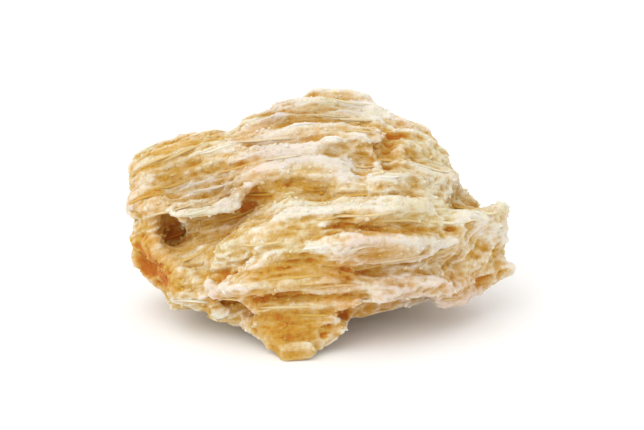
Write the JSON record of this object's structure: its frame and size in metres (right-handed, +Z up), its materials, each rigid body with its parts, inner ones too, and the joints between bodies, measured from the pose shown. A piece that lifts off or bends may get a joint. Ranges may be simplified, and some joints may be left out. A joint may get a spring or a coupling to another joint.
{
  "type": "chopped sweet flag root piece",
  "caption": "Irregular chip of chopped, peeled, dried aromatic root with layered fibre ridges, a split on its front and three small flat spots to rest on.",
  "frame": {"origin": "middle of the bounding box at its bottom, on the surface that the chip rests on", "axes": "+X along the fibres, the chip's longest extent, towards the torn tip; +Y away from the split front, towards the sliced back; +Z up"},
  "size_m": [0.0072, 0.0052, 0.0037],
  "materials": {
    "dry_root_flesh": "dry, mealy and fibrous, cream on the crests and golden brown in the hollows"
  },
  "bodies": {
    "root": {"root_chip": "dry_root_flesh"}
  },
  "joints": []
}
